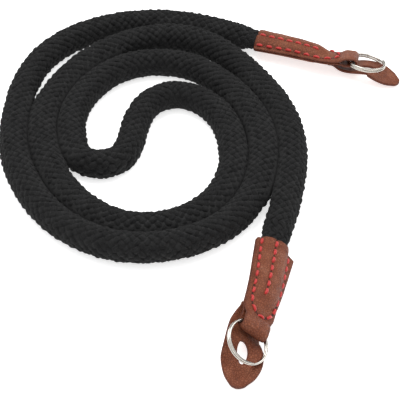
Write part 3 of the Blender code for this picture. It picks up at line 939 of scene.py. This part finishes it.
def add_strap_leather(end, line, sewing, material):
    """One strip: along the front, round the ring's wire in a fold, and back under the rope."""
    radius = loop_height()
    straight = SLEEVE_LENGTH + CLEARANCE + LOOP_LENGTH - LEATHER / 2 - radius
    turns = EDGE_TURNS[:-1]
    count = round((straight - 2 * EDGE_ROUND) / STRIP_STEP)
    rows = np.linspace(EDGE_ROUND, straight - EDGE_ROUND, count + 1)
    rows = np.concatenate([EDGE_ROUND * (1 - np.cos(turns)), rows])
    thick_rows = np.concatenate([np.sin(turns), np.ones(count + 1)])
    inner = np.linspace(-1.0, 1.0, STRIP_COLUMNS)
    outer = EDGE_ROUND * np.cos(turns)
    thick_columns = np.concatenate([np.sin(turns), np.ones(STRIP_COLUMNS), np.sin(turns[::-1])])
    middle, thick, shade = [], [], []

    def add_row(along, height_of, thickness, grooved):
        left, right = sewing.half_widths(along)
        reach = (left + right) / 2 - EDGE_ROUND
        across = np.concatenate([-reach - outer, inner * reach, reach + outer[::-1]]) + (left - right) / 2
        place = np.full(len(across), along)
        rim = np.minimum(left - across, across + right)
        share = EDGE_SKIVED + (1 - EDGE_SKIVED) * ease(rim, 0.0, EDGE_SKIVED_TO)
        height = height_of(place, across)
        height = height - np.clip(height / flat_height(), -1.0, 1.0) * (1 - share) * LEATHER / 2
        middle.append(line.points(place, across, height))
        thick.append(thick_columns * thickness * share)
        # Painted shade: darker towards the rims
        rim = np.minimum(rim, along + STRIP_END_RIM)
        value = 1 - STRIP_RIM_SHADE * np.exp(-rim / STRIP_RIM_WIDTH)
        # Painted shade along the stitch rows on the front layer
        shade.append(value * (1 - GROOVE_SHADE * grooved * sewing.groove(place, across)))

    for along, thickness in zip(rows, thick_rows):
        add_row(along, sewing.front_height, thickness, 1)
    for turn in np.linspace(0.0, np.pi, STRIP_FOLD_ROWS):
        fold = radius * math.cos(turn)
        add_row(straight + radius * math.sin(turn), lambda _, across, fold=fold: fold + 0 * across, 1.0, 0)
    for along, thickness in zip(rows[::-1], thick_rows[::-1]):
        add_row(along, back_height, thickness, 0)
    middle, thick, shade = np.array(middle), np.array(thick), np.array(shade)
    normal = unit(np.cross(np.gradient(middle, axis=0), np.gradient(middle, axis=1)))
    return leather_object(f"strap_leather_{end}", [(middle, normal, thick, shade, False)], material)


def flap_half_width(along):
    """A smooth line through the outline's rows, with a round tip."""
    rows = SmoothCurve([(share, 0.0, 0.0, width) for share, width in FLAP_OUTLINE])
    share = np.clip(along / FLAP_LENGTH, 0.0, 1.0)
    return float(max(rows.at(share)[0, 3], 0.0)) * FLAP_WIDTH / 2


def slot_half_width(along):
    """A teardrop, wider towards the root."""
    share = np.clip((along - FLAP_SLOT_START) / FLAP_SLOT_LENGTH, 0.0, 1.0)
    return FLAP_SLOT_WIDTH / 2 * np.sin(np.pi * share**0.8) ** 0.6


def flap_rows():
    """Places along the flap, close together at its ends and at the slot's ends."""
    slot_end = FLAP_SLOT_START + FLAP_SLOT_LENGTH
    turn = (1 - np.cos(np.linspace(0, np.pi, FLAP_SLOT_ROWS))) / 2
    slot = FLAP_SLOT_START + FLAP_SLOT_LENGTH * turn
    edge = EDGE_ROUND * (1 - np.cos(EDGE_TURNS[:-1]))
    root = np.linspace(0.0, FLAP_SLOT_START, FLAP_ROOT_ROWS)[:-1]
    turn = np.linspace(0, np.pi / 2, FLAP_TIP_ROWS)[1:]
    tip = slot_end + (FLAP_LENGTH - slot_end) * np.sin(turn)
    return np.concatenate([edge, root[root > EDGE_ROUND], slot, tip])


def flap_row(along, share):
    """One row of half the flap: its places across, and their shares of thickness and painted shades."""
    outer = flap_half_width(along) * (share + (1 - share) * ease(along, *FLAP_HALVES_EVEN))
    inner = slot_half_width(along)
    open_here = inner > FLAP_SLOT_LEAST
    near = EDGE_ROUND * (1 - np.cos(EDGE_TURNS))
    rim = min(1.0, max(outer - inner, 0.0) / (2.5 * EDGE_ROUND)) * near
    inside = inner + (rim if open_here else near)
    between = np.linspace(inside[-1], outer - rim[-1], FLAP_COLUMNS)[1:-1]
    across = np.concatenate([inside, between, (outer - rim)[::-1]])
    across = np.clip(across, 0.0, max(outer, 0.0))
    rise = np.sin(EDGE_TURNS) if open_here else np.ones(len(EDGE_TURNS))
    thick = np.concatenate([rise, np.ones(len(between)), np.sin(EDGE_TURNS)[::-1]])
    # Painted shade towards the flap's rims and round the slot
    from_rim = np.minimum(np.maximum(outer - across, 0.0), FLAP_LENGTH - along)
    if open_here:
        from_rim = np.minimum(from_rim, np.maximum(across - inner, 0.0))
    return across, thick, 1 - FLAP_RIM_SHADE * np.exp(-from_rim / FLAP_RIM_WIDTH)


def add_flap(end, line, material):
    """The slotted flap, in two halves that meet on its middle line except at the slot."""
    rows = flap_rows()
    from_end = np.clip(np.minimum(rows, FLAP_LENGTH - rows) / EDGE_ROUND, 0.0, 1.0)
    end_thick = np.sqrt(1 - (1 - from_end) ** 2)
    up = line.axes(rows)[3]
    grids = []
    for side, share in zip((1, -1), ENDS[end]["halves"]):
        middle, thick, shade = [], [], []
        for along, row_thick in zip(rows, end_thick):
            across, thick_across, shade_across = flap_row(along, share)
            curl = FLAP_CURL * (across / (FLAP_WIDTH / 2)) ** 4 * ease(along, 0.0, FLAP_LENGTH / 2)
            middle.append(line.points(np.full(len(across), along), side * across, curl))
            thick.append(thick_across * row_thick)
            shade.append(shade_across)
        middle = np.array(middle)
        normal = np.broadcast_to(up[:, None], middle.shape)
        grids.append((middle, normal, np.array(thick), np.array(shade), side < 0))
    return leather_object(f"flap_leather_{end}", grids, material)


# Stitches


def stitch_spans(route):
    """Each stitch's start and end, a pitch apart along a route."""
    step = np.linalg.norm(np.diff(route, axis=0), axis=1)
    knot = np.concatenate([[0.0], np.cumsum(step)])
    count = int((knot[-1] - STITCH_LENGTH) / STITCH_PITCH + 0.5)
    pitch = (knot[-1] - STITCH_LENGTH) / count
    spans = []
    for i in range(count + 1):
        travel = np.linspace(i * pitch, i * pitch + STITCH_LENGTH, len(STITCH_DIVE))
        spans.append(np.stack([np.interp(travel, knot, route[:, k]) for k in range(2)], axis=1))
    return spans


def surface_points(line, sewing, places):
    """Points on the front layer's outer face, and the way out of it."""
    along, across = places[:, 0], places[:, 1]
    nudge = 0.15 * MM

    def face(along, across):
        return line.points(along, across, sewing.front_height(along, across) + LEATHER / 2)

    here = face(along, across)
    down = face(along + nudge, across) - here
    side = face(along, across + nudge) - here
    out = unit(np.cross(down, side))
    return here, out * np.sign(np.sum(out * line.axes(along)[3], axis=1))[:, None]


def add_stitches(end, line, sewing, material):
    """Stitches of two twisted plies that dive into the leather at both ends."""
    count = len(STITCH_DIVE)
    dive = np.array(STITCH_DIVE) * STITCH_WIDTH / 2
    girth = np.array(STITCH_GIRTH) * STITCH_WIDTH / 2
    angle = 2 * np.pi * np.arange(STITCH_SIDES) / STITCH_SIDES
    twist = np.linspace(0.0, STITCH_TWIST, count)
    radius = girth[:, None] * (STITCH_VALLEY + STITCH_PLY * np.abs(np.cos(angle - twist[:, None])))
    travel = np.repeat(np.linspace(0.0, STITCH_LENGTH / MM, count), STITCH_SIDES)
    points, faces, places = [], [], []
    for number, span in enumerate(sewing.spans()):
        here, out = surface_points(line, sewing, span)
        middle = here + out * dive[:, None]
        forward = unit(np.gradient(middle, axis=0))
        side = unit(np.cross(forward, out))
        up = np.cross(side, forward)
        rings = middle[:, None] + side[:, None] * (radius * np.cos(angle))[..., None]
        rings = rings + up[:, None] * (STITCH_FLAT * radius * np.sin(angle))[..., None]
        faces += tube_faces(count, STITCH_SIDES, len(points) * count * STITCH_SIDES)
        points.append(rings.reshape(-1, 3))
        apart = np.full(len(travel), STITCH_APART * number)
        places.append(np.stack([travel, np.tile(angle, count), apart], axis=1))
    return strand_object(f"stitches_{end}", points, faces, places, material)


def add_needle_holes(end, line, sewing, material):
    """A dark dimple of painted shade where each stitch goes into the leather."""
    work = bmesh.new()
    for span in sewing.spans():
        here, out = surface_points(line, sewing, span)
        for tip, inner in ((0, 1), (-1, -2)):
            forward = unit(here[tip] - here[inner])
            side = np.cross(out[tip], forward)
            centre = here[tip] + forward * HOLE_PAST_TIP - out[tip] * HOLE_SUNK
            made = bmesh.ops.create_uvsphere(work, u_segments=12, v_segments=8, radius=1.0)["verts"]
            for vertex in made:
                x, y, z = vertex.co
                spot = centre + forward * HOLE_HALF_LENGTH * x + side * HOLE_HALF_WIDTH * y
                vertex.co = spot + out[tip] * HOLE_HALF_HEIGHT * z
    return work_object(f"needle_holes_{end}", work, material)


# Split ring


def add_ring(end, material):
    """Two coils of round wire on the model's ring, the cut ends tapered on the side away from the loop."""
    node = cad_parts[f"ring_{end}"]
    places = np.array([vertex.co for vertex in node.data.vertices])
    centre = places.mean(axis=0)
    normal = np.linalg.svd(places - centre)[2][2]
    normal = normal * np.sign(normal[2])
    low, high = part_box(f"loop_{end}")
    towards = centre - np.array((low + high) / 2)
    towards = unit(towards - normal * np.dot(towards, normal))
    side = np.cross(normal, towards)
    radius = (RING_DIAMETER - RING_WIRE) / 2
    count = RING_COILS * RING_STEPS_A_COIL + 1
    turn = np.arange(count) / RING_STEPS_A_COIL
    angle = 2 * np.pi * turn + RING_CUT_AT
    rise = (RING_WIRE + RING_COIL_GAP) * (turn - RING_COILS / 2)
    outward = towards * np.cos(angle)[:, None] + side * np.sin(angle)[:, None]
    middle = centre + radius * outward + normal * rise[:, None]
    around = 2 * np.pi * np.arange(RING_SIDES) / RING_SIDES
    from_cut = np.minimum(np.arange(count), np.arange(count)[::-1])
    girth = RING_WIRE / 2 * np.sqrt(np.clip(from_cut / RING_TAPER_STEPS, RING_CUT_AREA, 1.0))
    ring = middle[:, None, :] + outward[:, None, :] * (girth[:, None] * np.cos(around))[..., None]
    ring = ring + normal * (girth[:, None] * np.sin(around))[..., None]
    faces = tube_faces(count, RING_SIDES)
    return points_object(f"split_ring_{end}", ring.reshape(-1, 3), faces, material)


def finish_piece(piece, slot_name, *replaced):
    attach(piece, "root")
    if replaced:
        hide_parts(*replaced)


def add_rope():
    line = RopeLine()
    core = add_rope_core(line, core_material())
    cotton = cotton_material()
    finish_piece(core, "black_cotton", "rope")
    strands = []
    for hand, way in ((1, "right"), (-1, "left")):
        for first in range(0, BRAID_ONE_WAY, STRANDS_A_PIECE):
            numbers = range(first, first + STRANDS_A_PIECE)
            strands.append(add_strands(f"rope_strands_{way}_{first}", line, hand, numbers, cotton))
            finish_piece(strands[-1], "black_cotton")
    path = line.axes(np.linspace(line.start, line.end, CORD_PATH_POINTS))[0]


def add_ends():
    leather = leather_material()
    thread = thread_material()
    hole = hole_shade_material()
    nickel = nickel_material()
    for end in ENDS:
        strap = strap_line(end)
        sewing = Sewing(end)
        strip = add_strap_leather(end, strap, sewing, leather)
        finish_piece(strip, "brown_leather", f"sleeve_{end}", f"loop_{end}")
        finish_piece(add_flap(end, flap_line(end, strap), leather), "brown_leather", f"flap_{end}")
        finish_piece(add_stitches(end, strap, sewing, thread), None)
        finish_piece(add_needle_holes(end, strap, sewing, hole), None)
        finish_piece(add_ring(end, nickel), "nickel", f"ring_{end}")


add_camera()
add_stage()
add_rope()
add_ends()
